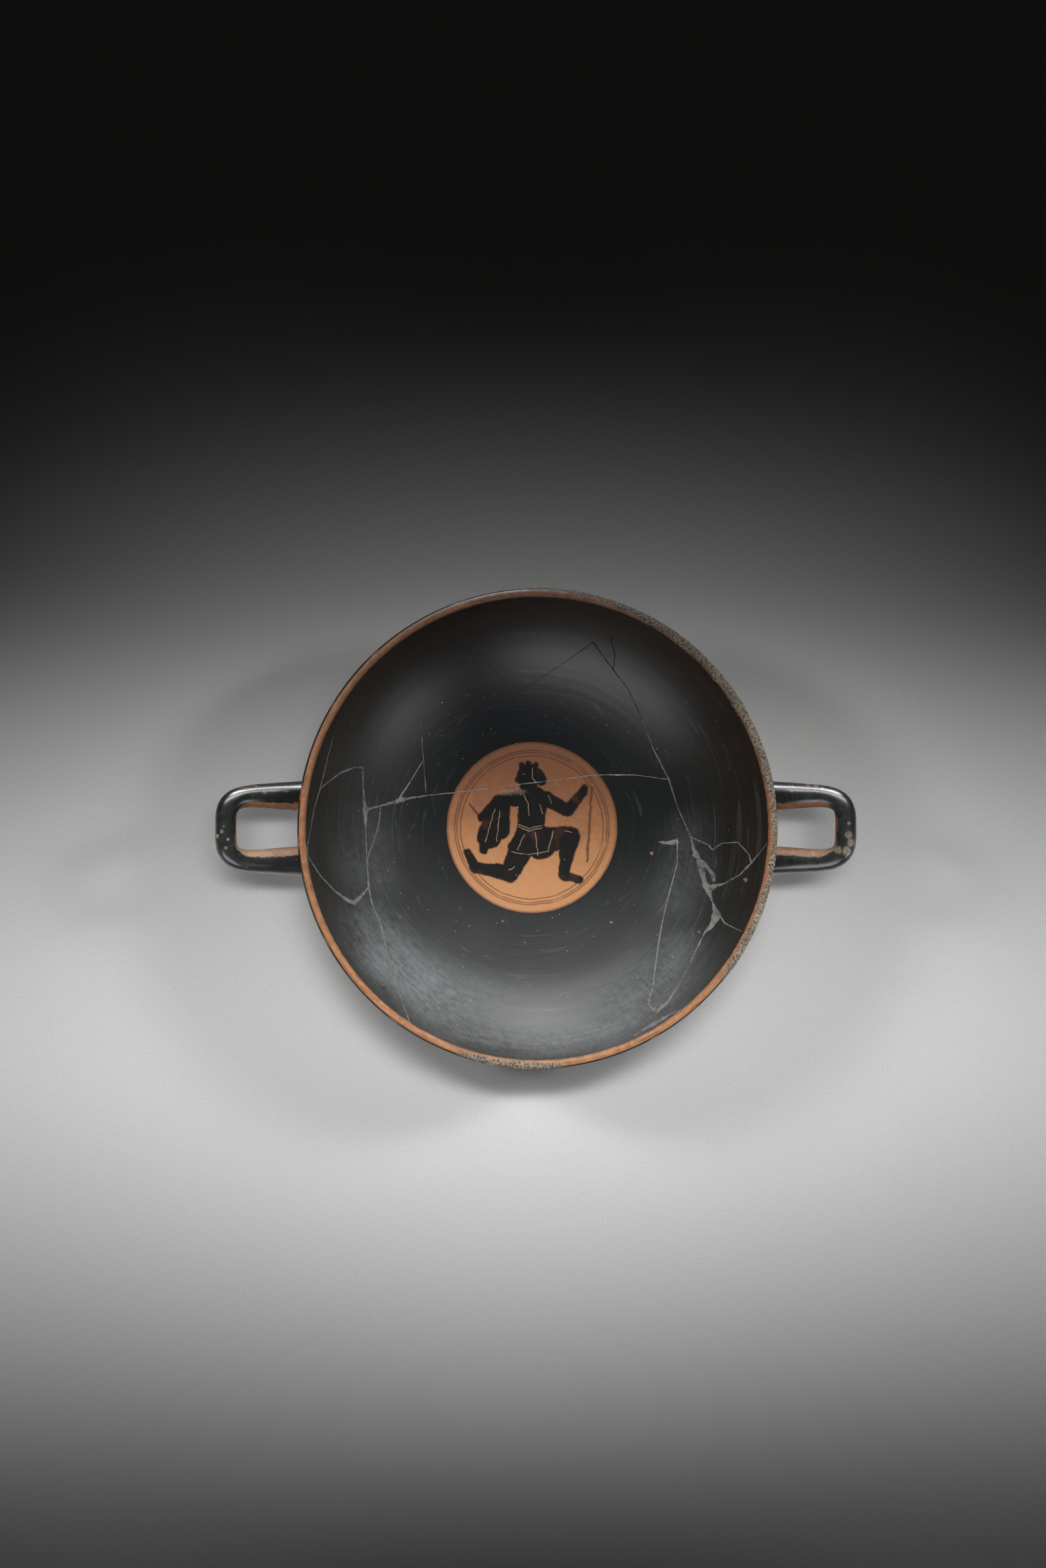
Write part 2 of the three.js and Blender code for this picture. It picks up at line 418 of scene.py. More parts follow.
def loopTree():
    # an oval section swept along the loop, spreading where it comes near the bowl
    sheet, entry = newShapeTree("handleRolledFromCoil", {
        "Bowl": "Object", "Section Steps": "Int", "Across": "Float", "Upright": "Float",
        "Fillet Height": "Float", "Fillet Width": "Float"})
    path = sheet.put("GeometryNodeSetCurveNormal", {"mode": "Z_UP"}, entry("Geometry"))
    ring = sheet.put("GeometryNodeCurvePrimitiveCircle", None, entry("Section Steps"), Radius=1)
    size = sheet.joined(entry("Across"), entry("Upright"), 1)
    oval = sheet.put("GeometryNodeTransform", None, ring, Scale=size)
    thick = sheet.put("GeometryNodeInputRadius")
    tube = sheet.put("GeometryNodeCurveToMesh", None, path, oval, thick, True)
    apart = sheet.put("GeometryNodeProximity", {"target_element": "FACES"}, sheet.shapeOf(entry("Bowl")))
    near = (1 - apart.also("Distance") / entry("Fillet Width")).sum("MAXIMUM", 0)
    spread = sheet.vectorSum("SCALE", sheet.put("GeometryNodeInputNormal"),
                             near * near * entry("Fillet Height"))
    soft = sheet.put("GeometryNodeSetPosition", None, tube, Offset=spread)
    return endTree(sheet, entry, soft)


def combined(piece, tool, operation):
    change = piece.modifiers.new(operation, "BOOLEAN")
    change.operation = operation
    change.solver = "MANIFOLD"
    change.object = tool
    result = plainCopy(piece, piece.name)
    bpy.data.objects.remove(tool)
    return result


def makeCup(material):
    wheel, sweep = turnedTree(), loopTree()
    section, middle = cupSection(), wallFace(0, 0.5)
    body = turned("kylixBody", section, cup["turnSteps"], wheel, material)
    above = cup["height"] + 20
    core = np.concatenate([middle[::6], middle[-1:], [(middle[-1, 0], above), (0, above)]])
    for side in (1, -1):
        loop = shapedBy(polylines("loopPath", [loopPath(side)]), sweep, {
            "Bowl": body, "Section Steps": handle["sectionSteps"], "Finish": material,
            "Across": handle["armAcross"] * mm, "Upright": handle["armUpright"] * mm,
            "Fillet Height": handle["filletHeight"] * mm, "Fillet Width": handle["filletWidth"] * mm},
            "loop")
        turnOut(loop)
        # the loop ends inside the wall
        loop = combined(loop, turned("wallMiddle", core, cup["coreSteps"], wheel, material), "DIFFERENCE")
        body = combined(body, loop, "UNION")
    return body, section


# what the surface is at each point

wear = {
    # angle from the right-hand handle in degrees, how thick the burial crust is there, and how far
    # it reaches inwards of the top of the lip, in millimetres
    "crust": [(-180, 0, 0), (-116, 0, 0), (-108, 0.45, 0.6), (-100, 0.75, 1), (-91, 0.8, 0.9),
              (-84, 0.35, 0.4), (-78, 0, 0), (-42, 0, 0), (-34, 0.9, 0.6), (-26, 1, 0.9), (-14, 1, 0.2),
              (4, 1, 0), (16, 1, 1.2), (40, 1, 1.9), (58, 0.95, 1.5), (66, 0.6, 0.3), (84, 0.4, -0.3),
              (100, 0.25, -0.6), (108, 0, -1), (180, 0, 0)],
    "crustWander": [(0.3, 37, 0), (0.25, 83, 1)],  # size, waves round the rim, and their start
    "crustOutside": -3.4,
    "crustRise": 0.3,
    "ridges": 7,
    "ridgeLength": (4, 13),
    "ridgeSway": (0.2, 1.2),
    "ridgeHeight": 0.012,
    # angle, distance inwards from the top of the lip, radius and depth of each chip
    "chips": [(-26, 0.6, 3.2, 0.9), (133, -1.2, 2.2, 0.7), (109, -0.8, 1.8, 0.5), (149, -1.4, 1.8, 0.55),
              (171, -1.5, 3.4, 0.5), (183, -1.3, 2.6, 0.5), (208, -1.3, 1.7, 0.4), (-61, -1.4, 2.6, 0.6),
              (-49, -1.2, 1.6, 0.45), (74, -1.2, 2.4, 0.6), (-127, -1.5, 1.9, 0.45)],
    "chipCircle": 99,  # radius
    "chipNarrow": 1.5,  # how much narrower they are across the lip
}


def sectionPlace(places, section):
    # length along the section from the top of the lip, inwards positive, and the distance off it
    along = lengthAlong(section)
    along -= along[np.argmax(section[:, 1])]
    start, step = section[:-1], np.diff(section, axis=0)
    length = (step ** 2).sum(1)
    flat = np.stack([np.hypot(places[:, 0], places[:, 1]), places[:, 2]], 1)
    marks, apart = np.empty(len(flat)), np.empty(len(flat))
    batch = 4000  # points at a time, to spare memory
    for first in range(0, len(flat), batch):
        part = flat[first:first + batch, None, :] - start[None]
        share = np.clip((part * step).sum(2) / length, 0, 1)
        gap = np.hypot(*np.moveaxis(part - share[..., None] * step, 2, 0))
        best = gap.argmin(1)
        rows = np.arange(len(best))
        marks[first:first + batch] = along[best] + share[rows, best] * np.sqrt(length[best])
        apart[first:first + batch] = gap[rows, best]
    return marks, apart


def loopSide(places):
    # 1 where a handle faces the hole of its loop, and -1 on its outer side
    facing = np.zeros(len(places))
    for side in (1, -1):
        path = loopPath(side)[:, :3]
        way = np.gradient(path, axis=0)
        inward = np.stack([-way[:, 1], way[:, 0], np.zeros(len(way))], 1)
        inward /= np.linalg.norm(inward, axis=1)[:, None]
        mine = np.flatnonzero(places[:, 0] * side > handle["sideFrom"])
        nearest = np.linalg.norm(places[mine, None] - path[None], axis=2).argmin(1)
        spoke = places[mine] - path[nearest]
        spoke /= np.linalg.norm(spoke, axis=1)[:, None] + 1e-9
        facing[mine] = (spoke * inward[nearest]).sum(1)
    return facing


def crustShare(angle, fromLip):
    angles, shares, reaches = zip(*wear["crust"])
    turn = np.radians(angle)
    wander = sum(size * np.sin(turn * waves + start) for size, waves, start in wear["crustWander"])
    inner = np.interp(angle, angles, reaches) + wander
    outer = wear["crustOutside"]
    band = np.minimum(smoothStep(fromLip, outer - 0.8, outer + 0.5),
                      1 - smoothStep(fromLip, inner - 0.5, inner + 0.6))
    return band * np.interp(angle, angles, shares)


def wearDown(body, section):
    # turning ridges, crust and chips, and the values that the finishes read
    places = readVectors(body.data.vertices, "co") / mm
    normals = readVectors(body.data.vertices, "normal")
    angle = np.degrees(np.arctan2(places[:, 1], places[:, 0]))
    fromLip, apart = sectionPlace(places, section)
    onHandle = smoothStep(apart, 0.3, 1.6)
    random = np.random.default_rng(11)
    rise = np.zeros(len(places))
    for _ in range(wear["ridges"]):
        length, turn = random.uniform(*wear["ridgeLength"]), random.uniform(0, 6)
        sway = np.sin(np.radians(angle) + turn) * random.uniform(*wear["ridgeSway"])
        rise += wear["ridgeHeight"] * np.sin(2 * math.pi * fromLip / length + turn + sway) / 2
    rise *= smoothStep(fromLip, 4, 9) * (1 - onHandle)
    caked = crustShare(angle, fromLip) * (1 - onHandle)
    rise += wear["crustRise"] * caked * random.uniform(0.3, 1, len(places))
    chipped = np.zeros(len(places))
    for turn, inward, radius, depth in wear["chips"]:
        beside = np.radians((angle - turn + 180) % 360 - 180) * wear["chipCircle"]
        gap = np.hypot(beside, (fromLip - inward) * wear["chipNarrow"])
        hollow = np.clip(1 - (gap / radius) ** 2, 0, 1) * random.uniform(0.7, 1, len(places))
        rise -= depth * hollow
        chipped = np.maximum(chipped, smoothStep(hollow, 0, 0.3))
    body.data.vertices.foreach_set("co", ((places + normals * rise[:, None]) * mm).ravel())
    body.data.update()
    for name, values in {"fromLip": fromLip, "onHandle": onHandle, "loopSide": loopSide(places),
                         "crust": caked, "chipped": chipped}.items():
        layer = body.data.attributes.new(name, "FLOAT", "POINT")
        layer.data.foreach_set("value", values.astype(np.float32))


# finishes

finish = {
    "gloss": (0.0135, 0.0155, 0.0150),
    # a painted dark reflection, for the gloss above the roundel
    "glossDarkReflection": (0.0100, 0.0120, 0.0150),
    "glossBrown": (0.034, 0.022, 0.012),
    "glossPit": (0.003, 0.003, 0.003),
    # dull wear film, partly painted sheen on the lower wall and painted light on the handles
    "filmAndSheen": (0.064, 0.068, 0.066),
    # pale rubbing haze, partly painted sheen on the lower wall
    "hazeAndSheen": (0.27, 0.287, 0.298),
    "clay": (0.56, 0.265, 0.115),
    "clayDark": (0.33, 0.145, 0.070),
    "clayWorn": (0.120, 0.055, 0.032),
    "clayPale": (0.66, 0.42, 0.26),
    "crustPale": (0.54, 0.46, 0.36),
    "crustDull": (0.36, 0.30, 0.24),
    "crustDeep": (0.085, 0.065, 0.047),
    "fleck": (0.62, 0.52, 0.36),
    "glossRough": 0.38,
    "clayRough": 0.62,
    "crustRough": 0.85,
    "handleCoat": 0.32,  # roughness of the coat on the handles' gloss
    "lipBand": (-1.1, 2.5),  # the bare band on the lip, from and to
    "thinLines": [(37.2, 38.0), (34.6, 35.1)],  # the bare lines round the outside, from and to
    "footBand": (0.9, 5.1),
    # rubbed patches, partly painted sheen: direction and spread in degrees, from and to in millimetres from
    # the axis, how softly they end there, and how strong they are
    "rubbed": [(226, 30, 72, 88, 9, 1), (240, 26, 72, 84, 12, 0.8), (228, 34, 74, 93, 7, 1),
               (306, 26, 74, 90, 9, 0.6), (345, 26, 58, 76, 8, 0.3), (275, 60, 84, 96, 7, 0.7),
               (190, 22, 64, 84, 8, 0.35)],
}


# x and y in millimetres from the axis, how far it reaches, and how strong it is
spots = {
    "flecks": [(51, -11, 0.9, 0.9), (88, -21.7, 1.0, 0.9), (33.6, -40.4, 0.7, 0.8), (-12.7, -40, 0.6, 0.8),
               (69.4, -43.8, 0.6, 0.8)],
    "pits": [(62.7, 57.6, 0.9, 1), (1.2, 81.1, 0.8, 1), (-50.5, 49, 0.6, 0.8), (-64, -66.5, 0.6, 0.8)],
    # these two are on the handles
    "loss": [(107.5, 15.5, 0.7, 0.7), (108.4, 17.6, 0.7, 0.7), (114.5, 18.2, 1.2, 0.8),
             (118, 18.0, 1.5, 0.9), (120, 16.8, 1.1, 0.8), (-117, 17.3, 0.8, 0.5), (-133, -3, 0.8, 0.9),
             (-128.6, -4.4, 0.7, 0.9)],
    "soil": [(130.5, -2.5, 2.2, 0.7), (131.5, -6, 2.4, 0.9), (129.5, -9.5, 2.6, 0.9), (126, -9, 2, 0.9),
             (130.5, 2.2, 0.9, 0.8), (-131.2, -1, 1.1, 0.8), (-130.4, 1, 0.8, 0.7), (-129.5, -8, 0.9, 0.6),
             (-113.6, 15.4, 1.4, 0.5), (-104.8, 16.6, 1.8, 0.5)],
}


def newFinish(name, roughness, specular=0.5):
    material = bpy.data.materials.new(name)
    material.use_nodes = True
    sheet = NodeSheet(material.node_tree)
    shader = sheet.put("ShaderNodeBsdfPrincipled", None, Roughness=roughness, Specular_IOR_Level=specular)
    sheet.put("ShaderNodeOutputMaterial", None, shader)
    return material, sheet, shader.socket.node


def attribute(sheet, name):
    return sheet.put("ShaderNodeAttribute", {"attribute_name": name}).also("Fac")


def within(sheet, value, low, high, soft):
    return sheet.smallest([sheet.step(value, low - soft, low + soft),
                           sheet.step(value, high + soft, high - soft)])


class CupSurface:
    # where a point is on the cup, in millimetres, and the patterns that its finishes share
    def __init__(self, sheet):
        self.sheet = sheet
        self.place = sheet.vectorSum("SCALE", sheet.objectPlace(), 1 / mm)
        self.x = sheet.split(self.place)
        self.y, self.z = self.x.also("Y"), self.x.also("Z")
        self.radius = (self.x * self.x + self.y * self.y).sum("SQRT")
        self.spoke = self.radius + 0.001  # never 0
        self.fromLip = attribute(sheet, "fromLip")
        self.inside = sheet.step(self.fromLip, 0, 0.4)
        self.onHandle = attribute(sheet, "onHandle")
        self.handleTop = self.onHandle * sheet.step(self.z, 50, 58)
        self.streak = self.drawnOut(2.2, self.fromLip * 1.4, 5, 0.65)
        self.fine = self.drawnOut(9, self.fromLip * 6, 3, 0.7)
        self.lipStreak = self.drawnOut(7, self.fromLip * 1.7, 4, 0.65)
        self.cloud = sheet.noise(self.place, 0.028, 3, 0.55)
        self.mottle = sheet.noise(self.place, 0.35, 4, 0.6)
        self.grain = sheet.noise(self.place, 2.6, 3, 0.7)

    def drawnOut(self, turns, along, detail, roughness):
        # marks of the wheel and the brush run round the cup, so the pattern is drawn out along the turn
        way = (self.x / self.spoke * turns, self.y / self.spoke * turns)
        return self.sheet.noise(self.sheet.joined(*way, along), 1, detail, roughness)

    def sector(self, turn, spread):
        # 1 along one direction from the axis, and 0 further round than the spread, in degrees
        way = math.radians(turn)
        cosine = (self.x * math.cos(way) + self.y * math.sin(way)) / self.spoke
        return self.sheet.step(cosine, math.cos(math.radians(spread)), 1)

    def ring(self, low, high, soft):
        return within(self.sheet, self.radius, low, high, soft)

    def spot(self, x, y, reach, strength):
        away = ((self.x - x) ** 2 + (self.y - y) ** 2).sum("SQRT")
        ragged = away + (self.mottle - 0.5) * reach * 1.4 + (self.grain - 0.5) * reach * 0.8
        return self.sheet.step(ragged, reach, reach * 0.45) * strength

    def spotted(self, kind):
        return self.sheet.largest([self.spot(*row) for row in spots[kind]])


def thinGloss(skin):
    step = skin.sheet.step
    thin = skin.sheet.largest([skin.sector(20, 60), skin.sector(170, 35) * 0.45])
    return thin * step(skin.radius, 58, 92) * step(skin.streak + skin.cloud * 0.6, 0.55, 0.95)


def rubbedHazeAndSheen(skin):
    # a pale haze of fine rubbing on the lower walls, which is also painted sheen where they face the light
    sheet, x, y = skin.sheet, skin.x, skin.y
    rub = sheet.noise(sheet.joined(x * 0.9 + y * 0.9, x * 0.12 - y * 0.12, skin.z * 0.3), 1, 4, 0.75)
    patches = sheet.largest([skin.sector(turn, spread) * skin.ring(low, high, soft) * strength
                             for turn, spread, low, high, soft, strength in finish["rubbed"]])
    pattern = rub * 0.42 + skin.mottle * 0.3 + skin.streak * 0.25 + skin.cloud * 0.3
    return patches * sheet.step(pattern, 0.42, 0.86) * skin.inside


def dullFilmAndSheen(skin):
    # a dull film of wear on the wall of the bowl and on the handles; it is also painted sheen on the lower
    # wall, which faces the light, and painted light on the handles
    step, largest = skin.sheet.step, skin.sheet.largest
    filmAndSheen = largest([skin.sector(262, 110), skin.sector(195, 85) * 0.85, step(skin.radius, 60, 80) * 0.1])
    filmAndSheen = filmAndSheen * step(skin.radius, 26, 84) * step(skin.streak * 0.6 + skin.cloud * 0.5, 0.2, 0.8)
    # painted light on the handles, mixed with dull wear
    loopFilmAndLight = skin.onHandle * step(skin.mottle * 0.5 + skin.cloud * 0.5, 0.3, 0.75) * 0.8
    return largest([filmAndSheen * skin.inside, loopFilmAndLight])


def glossColour(skin, thin, hazeAndSheen, filmAndSheen):
    # black gloss, browner where it is thin, and bluer and darker above the roundel as a painted dark
    # reflection
    sheet, inside = skin.sheet, skin.inside
    # painted dark reflection: the gloss above the roundel bluer and darker
    darkReflection = skin.sector(95, 70) * skin.ring(36, 66, 10)
    gloss = sheet.mixed(darkReflection * 0.8, finish["gloss"], finish["glossDarkReflection"])
    gloss = sheet.mixed(thin * (1 - skin.onHandle) * 0.7, gloss, finish["glossBrown"])
    # the film: dull wear, partly painted sheen and painted light
    gloss = sheet.mixed(filmAndSheen * 0.9, gloss, finish["filmAndSheen"])
    # the haze: real rubbing, partly painted sheen
    gloss = sheet.mixed(hazeAndSheen * 0.95, gloss, finish["hazeAndSheen"])
    contour = skin.drawnOut(0.9, skin.radius * 0.3, 1, 0.5)
    brushLine = sheet.step((contour - 0.5).sum("ABSOLUTE"), 0.009, 0.002)
    brushLine = brushLine * inside * sheet.step(skin.radius, 38, 44)
    gloss = sheet.mixed(brushLine * 0.12, gloss, finish["hazeAndSheen"])
    gloss = sheet.mixed(skin.spotted("pits") * inside, gloss, finish["glossPit"])
    gloss = sheet.mixed(skin.spotted("flecks") * inside * 0.8, gloss, finish["clay"])
    return sheet.mixed(skin.spotted("loss") * skin.handleTop * 0.85, gloss, finish["clayPale"])


def clayColour(skin):
    # painted light and shade on the bare clay of the handles: paler on the lower arm, which faces the light,
    # and darker on the upper arm, in its shade; darker also towards the right-hand handle
    sheet, step = skin.sheet, skin.sheet.step
    streaks = step(skin.mottle * 0.45 + skin.lipStreak * 0.55, 0.36, 0.62)
    clay = sheet.mixed(streaks, finish["clay"], finish["clayDark"])
    # painted light: the bare clay on the lower arm of each handle paler
    clay = sheet.mixed(step(skin.y, -4, -9) * skin.onHandle * 0.6, clay, finish["clayPale"])
    # painted shade on the upper arm of each handle, with darker clay towards the right-hand handle
    darkClayAndArmShade = sheet.largest([skin.sector(8, 40), skin.onHandle * step(skin.y, 2, 8)])
    darkClayAndArmShade = darkClayAndArmShade * step(skin.mottle * 0.6 + skin.cloud * 0.4, 0.34, 0.56)
    clay = sheet.mixed(darkClayAndArmShade * 0.75, clay, finish["clayDark"])
    worn = step(skin.fine * 0.3 + skin.lipStreak * 0.5 + skin.mottle * 0.2, 0.53, 0.62)
    worn = worn * step(sheet.noise(skin.place, 0.045, 2), 0.42, 0.62)
    return sheet.mixed(worn * 0.75, clay, finish["clayWorn"])


def bareClay(skin):
    # the lip, the chips, the inner side of the loops, a panel between their roots, lines round the
    # outside, the edge of the foot, what it rests on and a band under it
    sheet, step, z = skin.sheet, skin.sheet.step, skin.z
    edge = (skin.mottle - 0.5) * 0.9
    out, across = skin.x.sum("ABSOLUTE"), skin.y.sum("ABSOLUTE")
    notHandle = 1 - skin.onHandle
    lip = within(sheet, skin.fromLip + edge, *finish["lipBand"], 0.14)
    loopEdge = attribute(sheet, "loopSide") + (skin.mottle - 0.5) * 0.5 + step(skin.y, -6, -9) * 0.14
    loopEdge = loopEdge - step(out, 119, 125) * 0.36
    panel = within(sheet, across + edge, -20, 8.2, 0.2) * step(out, 62, 66)
    panel = panel * within(sheet, z + edge, 44, 68, 0.2)
    lines = [within(sheet, z + edge * 0.3, low, high, 0.12) for low, high in finish["thinLines"]]
    footEdge = within(sheet, z + edge * 0.4, *finish["footBand"], 0.15) * step(skin.radius, 42.2, 42.6)
    under = within(sheet, z, 0.2, 4.4, 0.2) * skin.ring(17, 33.5, 0.2)
    outside = sheet.largest([panel, *lines, footEdge, step(z, 0.6, 0.2), under]) * (1 - skin.inside)
    return sheet.largest([lip * notHandle, step(loopEdge, 0.52, 0.62) * skin.onHandle,
                          outside * notHandle, attribute(sheet, "chipped") * 0.9])


def glossedClay(name, picture=None):
    material, sheet, shader = newFinish(name, 0.3)
    skin = CupSurface(sheet)
    grain, onHandle = skin.grain, skin.onHandle
    thin, hazeAndSheen, filmAndSheen, bare = thinGloss(skin), rubbedHazeAndSheen(skin), dullFilmAndSheen(skin), bareClay(skin)
    soil = skin.spotted("soil") * skin.handleTop * sheet.step(grain, 0.36, 0.56)
    colour = sheet.mixed(bare, glossColour(skin, thin, hazeAndSheen, filmAndSheen), clayColour(skin))
    colour = sheet.mixed(soil * 0.8, colour, finish["crustPale"])
    brushed = (skin.streak - 0.5) * (1 - onHandle)
    belt = skin.ring(38, 66, 7) * skin.sector(270, 100) * skin.inside
    rough = finish["glossRough"] + brushed * 0.12 + filmAndSheen * 0.06 + hazeAndSheen * 0.2 + thin * 0.05
    rough = rough - onHandle * 0.16 + belt * 0.2
    rough = rough * (1 - bare) + bare * finish["clayRough"]
    height = brushed * 0.02 + skin.fine * (1 - onHandle) * 0.008 + grain * 0.012
    if picture:
        colour, rough = picture(skin, colour, rough)

    # specks of lime all over, and the crust on the lip
    dots = sheet.put("ShaderNodeTexVoronoi", None, skin.place, Scale=0.34)
    rare = sheet.step(sheet.put("ShaderNodeSeparateColor", None, dots.also("Color")), 0.72, 0.74)
    speck = sheet.step(dots, 0.085, 0.055) * rare
    colour = sheet.mixed(speck * 0.85 * (1 - bare * 0.7), colour, finish["fleck"])
    sand = sheet.put("ShaderNodeTexVoronoi", None, skin.place, Scale=1.7)
    sandColour = sheet.mixed(sheet.step(sand, 0.25, 0.6), finish["crustPale"], finish["crustDeep"])
    caked = sheet.step(attribute(sheet, "crust") + (grain - 0.5) * 0.5, 0.3, 0.5)
    colour = sheet.mixed(caked, colour, sandColour)
    rough = rough * (1 - caked) + caked * finish["crustRough"]
    height = height + caked * (1 - sand) * 0.25 + speck * 0.05
    sheet.feedAll(shader, {
        "Base Color": colour, "Roughness": rough, "Normal": sheet.bump(0.6, 0.001, height),
        "Coat Weight": onHandle * (1 - bare) * (1 - soil), "Coat Roughness": finish["handleCoat"]})
    return material


# the painted roundel: a running youth in black silhouette, in millimetres from the cup's axis

roundel = {
    "radius": 36.6,
    "rings": [30.7, 32.2, 33.1],
    "ringWidth": 0.15,
    "figureScale": 1.1,
    "fuller": 0.45,
    "clayLow": (0.60, 0.280, 0.120),
    # the clay in painted shade on the far side of the roundel
    "clayFarShade": (0.27, 0.105, 0.045),
    "paint": (0.012, 0.012, 0.012),
    "thinPaint": (0.085, 0.028, 0.014),
    "scratch": (0.42, 0.28, 0.17),
    "stain": (0.22, 0.10, 0.058),
    "rubbed": (0.52, 0.42, 0.36),
    # x and y of both ends, and the radius at each
    "limbs": [
        (-1.5, 19.6, -1.2, 20.2, 3.7, 3.7), (-4.4, 19.0, -5.4, 18.6, 0.8, 0.3),
        (-2.6, 16.6, -3.2, 16.2, 1.2, 0.8), (1.6, 20.6, 3.6, 18.4, 2.0, 1.5),
        (-3.6, 23.2, -3.9, 24.2, 0.6, 0.4), (-1.4, 23.6, -1.4, 24.8, 0.6, 0.4),
        (0.9, 23.2, 1.5, 24.2, 0.6, 0.4), (-0.8, 17, 0.3, 13, 1.9, 2.6), (-4.8, 11.6, 5.6, 11.2, 2.3, 2.4),
        (0.4, 10.4, -0.4, -1, 5.0, 4.3), (-0.4, -2, 3.6, -6.4, 4.9, 5.3), (-1.5, -4, -5.2, -8.2, 4.6, 3.4),
        (3, -5.4, 15, -3.6, 4.8, 3.2), (15, -3.6, 12.6, -17.6, 3.0, 1.3),
        (12.5, -18.7, 18.6, -20.3, 1.3, 0.7), (-3.4, -7, -8.6, -17.8, 4.2, 2.9),
        (-8.6, -17.8, -21.6, -15.6, 2.7, 1.3),
        (-21.9, -15.8, -25.2, -9.6, 1.3, 0.7), (5.6, 11, 14.2, 6.6, 2.3, 1.6),
        (14.2, 6.6, 19.6, 13.4, 1.6, 1.0), (19.8, 13.6, 20.6, 15.4, 1.1, 0.6),
        (-5, 11.4, -13.2, 10.2, 2.2, 1.7), (-13.2, 10.2, -19.4, 3.8, 1.6, 1.0),
        (-13.4, 8.6, -16.6, -3.4, 2.3, 4.1), (-11, 9, -11.8, -1.2, 1.9, 2.5),
        (-17.4, -4, -18.8, -8.8, 2.7, 0.8)],
    "staff": [(23.4, 15.5, 21.6, -13, 0.42, 0.36), (-24.2, 9, -19.6, 3.4, 0.35, 0.5)],
    # lines scratched through the paint
    "lines": [
        (-3, 12.6, -1.4, 9.4), (-1.4, 9.4, -1.1, 4.6), (3.4, 9.2, 4.3, 5.4), (-5.2, 1.2, -1, -0.4),
        (-1, -0.4, 4, 0.8), (-5.2, 0.2, -1, -1.4), (-1, -1.4, 4.2, -0.2), (-2.8, -2.6, -5.6, -8.8),
        (1.4, -2, 2.4, -10.6), (-7.8, -9.6, -1.5, -10.6), (-1.5, -10.6, 6.4, -9.4), (6.4, -9.4, 8.6, -1.4),
        (12.9, -1.6, 15.8, -1.9), (-3.9, 20.9, -2.8, 21), (0.4, 23.2, 0.2, 19.2), (0.2, 19.2, 1.6, 17.6),
        (-14.4, 7.4, -18.2, -5.6), (-12.4, 6.6, -13.6, -5.4), (-6.6, -15.4, -8.8, -16.6),
        (6.6, 12.6, 7.6, 9.4)],
}


def taperedGap(sheet, place, limb):
    # distance outside a limb that narrows from one end to the other
    start = (limb[0], limb[1], 0)
    way = (limb[2] - limb[0], limb[3] - limb[1], 0)
    reach = way[0] ** 2 + way[1] ** 2
    spoke = sheet.vectorSum("SUBTRACT", place, start)
    share = sheet.put("ShaderNodeClamp", None, sheet.vectorSum("DOT_PRODUCT", spoke, way) / reach)
    across = sheet.vectorSum("DISTANCE", spoke, sheet.vectorSum("SCALE", way, share))
    return across - (share * (limb[5] - limb[4]) + limb[4])


def paintRoundel(skin, colour, rough):
    sheet, x, y, radius, mottle, grain = skin.sheet, skin.x, skin.y, skin.radius, skin.mottle, skin.grain
    step, mixed = sheet.step, sheet.mixed
    thinPaint, edge = roundel["thinPaint"], roundel["radius"]

    # hand drawn, so the outlines waver a little
    flat = sheet.joined(x, y, 0)
    shift = sheet.shaken(sheet.noise(flat, 0.32, 2).also("Color"), 1.5)
    shrink = 1 / roundel["figureScale"]
    place = sheet.vectorSum("MULTIPLY", sheet.vectorSum("ADD", flat, shift), (shrink, shrink, 0))
    gap = sheet.smallest([taperedGap(sheet, place, limb) for limb in roundel["limbs"]]) - roundel["fuller"]
    staff = sheet.smallest([taperedGap(sheet, place, limb) for limb in roundel["staff"]])
    scratch = sheet.smallest([taperedGap(sheet, place, (*line, 0, 0)) for line in roundel["lines"]])
    weak = sheet.noise(flat, 0.12, 2)

    # the clay ground, darker on the far side as painted shade, and the rings round it
    rise = y + x * 0.15 + (mottle - 0.5) * 26
    clay = mixed(step(rise, -26, 26), roundel["clayLow"], roundel["clayFarShade"])
    clay = mixed(step(grain, 0.6, 0.78) * 0.34, clay, finish["clayPale"])
    clay = mixed(step(grain, 0.38, 0.28) * 0.6, clay, finish["clayWorn"])
    wide = roundel["ringWidth"]
    rings = sheet.largest([step((radius + (weak - 0.5) * 1.4 - ring).sum("ABSOLUTE"), wide + 0.28, wide - 0.1)
                           for ring in roundel["rings"]])
    stain = step(sheet.noise(flat, 0.07, 4, 0.7) + y * 0.006, 0.5, 0.78)
    clay = mixed(stain * 0.6, clay, roundel["stain"])
    clay = mixed(rings * step(weak, 0.2, 0.5) * 0.75, clay, thinPaint)
    clay = mixed(step(radius, edge - 1.3, edge - 0.1) * 0.6, clay, thinPaint)

    # the figure, with a thin brown edge, scratched lines and a rubbed streak across it
    clay = mixed(step(gap, 0.75, 0.1), clay, thinPaint)
    clay = mixed(step(staff, 0.35, -0.1) * 0.8, clay, thinPaint)
    paint = mixed(step(weak, 0.56, 0.68) * 0.5, roundel["paint"], thinPaint)
    painted = mixed(step(gap, 0.28, -0.05), clay, paint)
    line = step(scratch, 0.24, 0.07) * step(gap, 0.1, -0.15) * step(weak + mottle * 0.3, 0.42, 0.56)
    painted = mixed(line * 0.85, painted, roundel["scratch"])
    streak = within(sheet, y - x * 0.04 + (mottle - 0.5) * 3, 14.4, 16.4, 0.7) * within(sheet, x, -13, -3, 2)
    painted = mixed(streak * step(grain, 0.4, 0.65) * 0.6, painted, roundel["rubbed"])
    share = step(radius + (mottle - 0.5) * 0.5, edge + 0.12, edge - 0.12)
    dry = share * step(gap, -0.05, 0.2)
    return mixed(share, colour, painted), rough * (1 - dry) + dry * 0.6


# mends along the breaks

